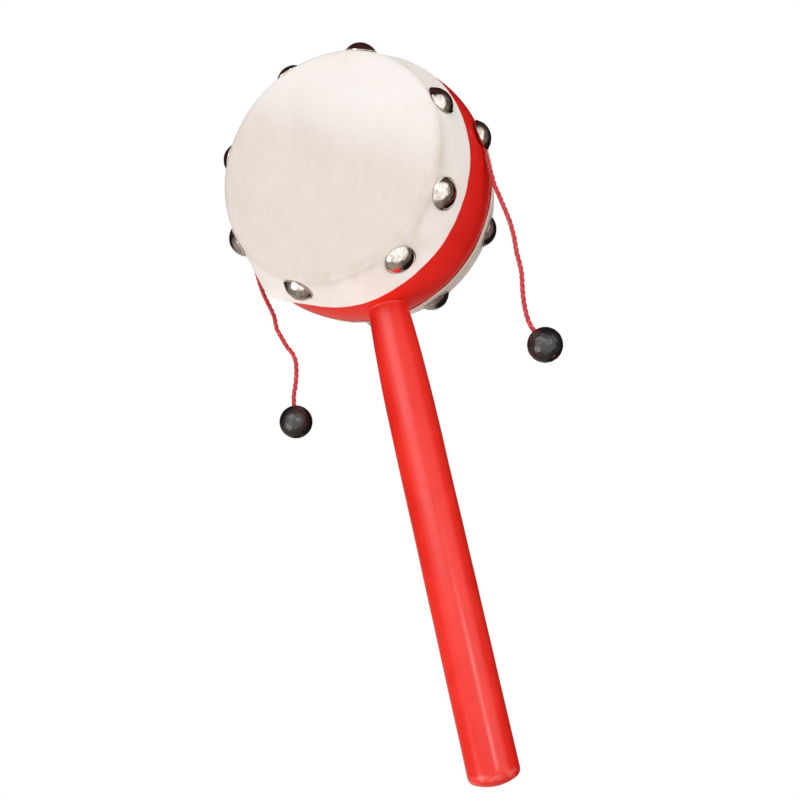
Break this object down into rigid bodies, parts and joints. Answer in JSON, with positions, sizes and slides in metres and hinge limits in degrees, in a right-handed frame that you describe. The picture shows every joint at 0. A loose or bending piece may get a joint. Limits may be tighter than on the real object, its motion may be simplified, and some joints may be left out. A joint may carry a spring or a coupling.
{
  "type": "pellet drum",
  "caption": "Hand-held pellet drum: barrel shell with tacked skin heads on a turned handle, and corded beads that swing round to strike the heads when twirled.",
  "frame": {"origin": "middle of the straight grip, on the handle's axis", "axes": "+Z along the handle up to the drum, -Y out of the front head, +X towards the right cord"},
  "size_m": [0.1076, 0.0524, 0.2572],
  "materials": {
    "red_lacquer": "gloss lacquer",
    "goatskin": "dry rawhide",
    "bright_nickel": "bright plating",
    "red_cord": "twisted cotton",
    "black_bead": "satin paint"
  },
  "bodies": {
    "drum": {"drum_shell": "red_lacquer", "front_head": "goatskin", "rear_head": "goatskin", "front_head_tacks": "bright_nickel", "rear_head_tacks": "bright_nickel", "handle": "red_lacquer", "handle_nail": "bright_nickel", "right_cord_tack": "bright_nickel", "left_cord_tack": "bright_nickel"},
    "right_upper": {"right_cord_upper": "red_cord"},
    "right_middle": {"right_cord_middle": "red_cord"},
    "right_lower": {"right_cord_lower": "red_cord", "right_bead": "black_bead", "right_knot": "red_cord"},
    "left_upper": {"left_cord_upper": "red_cord"},
    "left_middle": {"left_cord_middle": "red_cord"},
    "left_lower": {"left_cord_lower": "red_cord", "left_bead": "black_bead", "left_knot": "red_cord"}
  },
  "joints": [
    {"name": "right_cord_turn", "type": "hinge", "parent": "drum", "child": "right_upper", "pos_m": [0.0475, 0, 0.1485], "axis": [1, 0, 0], "range_deg": [-90, 90]},
    {"name": "right_cord_twist", "type": "hinge", "parent": "right_upper", "child": "right_middle", "pos_m": [0.0499, 0, 0.1125], "axis": [0, 0, 1], "range_deg": [-90, 90]},
    {"name": "right_cord_bend", "type": "hinge", "parent": "right_middle", "child": "right_lower", "pos_m": [0.0499, 0, 0.1085], "axis": [1, 0, 0], "range_deg": [-100.5, 100.5]},
    {"name": "left_cord_turn", "type": "hinge", "parent": "drum", "child": "left_upper", "pos_m": [-0.0475, 0, 0.1485], "axis": [-1, 0, 0], "range_deg": [-90, 90]},
    {"name": "left_cord_twist", "type": "hinge", "parent": "left_upper", "child": "left_middle", "pos_m": [-0.044, 0, 0.1125], "axis": [0, 0, 1], "range_deg": [-90, 90]},
    {"name": "left_cord_bend", "type": "hinge", "parent": "left_middle", "child": "left_lower", "pos_m": [-0.044, 0, 0.1085], "axis": [-1, 0, 0], "range_deg": [-101.5, 101.5]}
  ],
  "couplings": [
    {"joint": "right_cord_twist", "follows": "right_cord_turn", "ratio": 1},
    {"joint": "left_cord_twist", "follows": "left_cord_turn", "ratio": 1}
  ]
}
